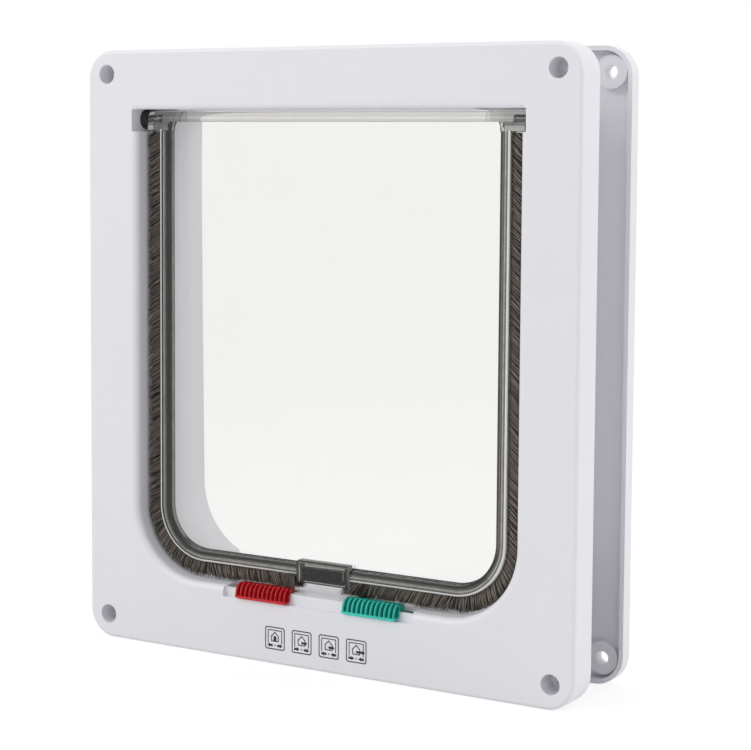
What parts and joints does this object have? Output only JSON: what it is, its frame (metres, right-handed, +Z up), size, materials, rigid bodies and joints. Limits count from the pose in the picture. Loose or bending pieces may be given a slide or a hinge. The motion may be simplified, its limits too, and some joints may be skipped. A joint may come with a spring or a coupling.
{
  "type": "cat flap",
  "caption": "Square white cat flap for a door panel: two screw-on frames with a telescoping passage, a smoked clear swinging flap edged with pile, and two sliding locks.",
  "frame": {"origin": "under the middle of the whole, on the surface that both frames stand on", "axes": "+Z up along the height, +X to the right as seen from the room, +Y from the room to the outside"},
  "size_m": [0.23, 0.0538, 0.25],
  "materials": {
    "white_abs": "satin white moulded plastic",
    "smoke_clear": "smoke-tinted clear plastic",
    "grey_pile": "dense dark grey-brown pile",
    "red_plastic": "glossy red",
    "green_plastic": "glossy blue-green",
    "black_nylon": "matt black nylon",
    "pin_steel": "bright steel",
    "magnet_dark": "dark sintered magnet"
  },
  "bodies": {
    "fixed_frame": {"inner_frame": "white_abs", "pivot_bush_left": "black_nylon", "pivot_bush_right": "black_nylon", "latch_retainer": "white_abs", "retainer_screws": "pin_steel", "sill_magnet": "magnet_dark"},
    "flap": {"flap_panel": "smoke_clear", "hinge_pin_left": "pin_steel", "hinge_pin_right": "pin_steel", "brush_strip_left": "grey_pile", "brush_strip_right": "grey_pile", "magnet_housing": "smoke_clear", "flap_magnet": "magnet_dark", "magnet_cap": "smoke_clear", "lock_lug_left": "smoke_clear", "lock_lug_right": "smoke_clear"},
    "red_lock": {"red_lock_grip": "red_plastic", "red_latch": "red_plastic"},
    "green_lock": {"green_lock_grip": "green_plastic", "green_latch": "green_plastic"},
    "outside_frame": {"outer_frame": "white_abs"}
  },
  "joints": [
    {"name": "flap_hinge", "type": "hinge", "parent": "fixed_frame", "child": "flap", "pos_m": [0, -0.01535, 0.2212], "axis": [1, 0, 0], "range_deg": [-85, 85]},
    {"name": "red_lock_slide", "type": "slide", "parent": "fixed_frame", "child": "red_lock", "axis": [-1, 0, 0], "range_m": [0, 0.006]},
    {"name": "green_lock_slide", "type": "slide", "parent": "fixed_frame", "child": "green_lock", "axis": [1, 0, 0], "range_m": [0, 0.006]},
    {"name": "sleeve_slide", "type": "slide", "parent": "fixed_frame", "child": "outside_frame", "axis": [0, 1, 0], "range_m": [-0.01, 0.01]}
  ]
}
